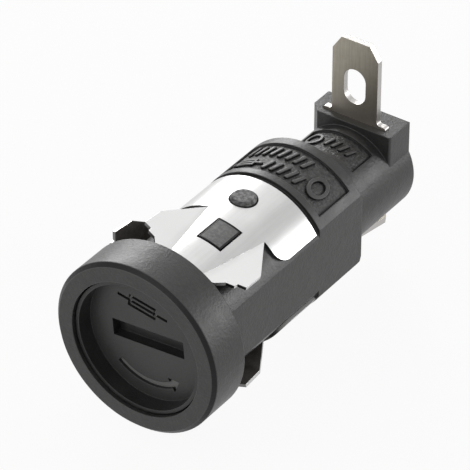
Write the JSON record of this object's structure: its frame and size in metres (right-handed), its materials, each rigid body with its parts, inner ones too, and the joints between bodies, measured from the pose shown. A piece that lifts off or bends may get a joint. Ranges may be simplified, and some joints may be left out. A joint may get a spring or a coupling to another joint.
{
  "type": "panel-mount fuse holder",
  "caption": "Round snap-in panel fuse holder for a cartridge fuse, with a slotted bayonet carrier, a spring-steel retaining clip and two flat tab terminals.",
  "frame": {"origin": "on the holder's axis, in the plane of the flange's rear face, which seats on the panel", "axes": "+Y along the axis to the rear, +Z towards the upright tab, +X to the right seen from the front"},
  "size_m": [0.0218, 0.0477, 0.0283],
  "materials": {
    "housing_plastic": "fine satin moulded black",
    "carrier_plastic": "fine satin moulded black",
    "clip_steel": "bright rolled spring steel",
    "terminal_metal": "tin-plated brass, brushed",
    "contact_brass": "satin",
    "cap_nickel": "nickel plated",
    "fuse_glass": "clear",
    "fuse_element": "tinned wire",
    "spring_steel": "drawn wire"
  },
  "bodies": {
    "holder": {"housing": "housing_plastic", "retaining_clip": "clip_steel", "rear_terminal": "terminal_metal", "side_terminal": "terminal_metal", "contact_spring": "spring_steel"},
    "fuse": {"fuse_cap_front": "cap_nickel", "fuse_cap_rear": "cap_nickel", "fuse_tube": "fuse_glass", "fuse_wire": "fuse_element"},
    "carrier": {"fuse_carrier": "carrier_plastic", "carrier_contact": "contact_brass"},
    "plunger": {"contact_plunger": "contact_brass"}
  },
  "joints": [
    {"name": "carrier_pull", "type": "slide", "parent": "holder", "child": "fuse", "axis": [0, -1, 0], "range_m": [0, 0.04]},
    {"name": "carrier_turn", "type": "hinge", "parent": "fuse", "child": "carrier", "pos_m": [0, 0, 0], "axis": [0, 1, 0], "range_deg": [0, 90]},
    {"name": "plunger_press", "type": "slide", "parent": "holder", "child": "plunger", "axis": [0, 1, 0], "range_m": [0, 0.0008], "stiffness_N_per_m": 600, "deforming": ["contact_spring"]}
  ]
}
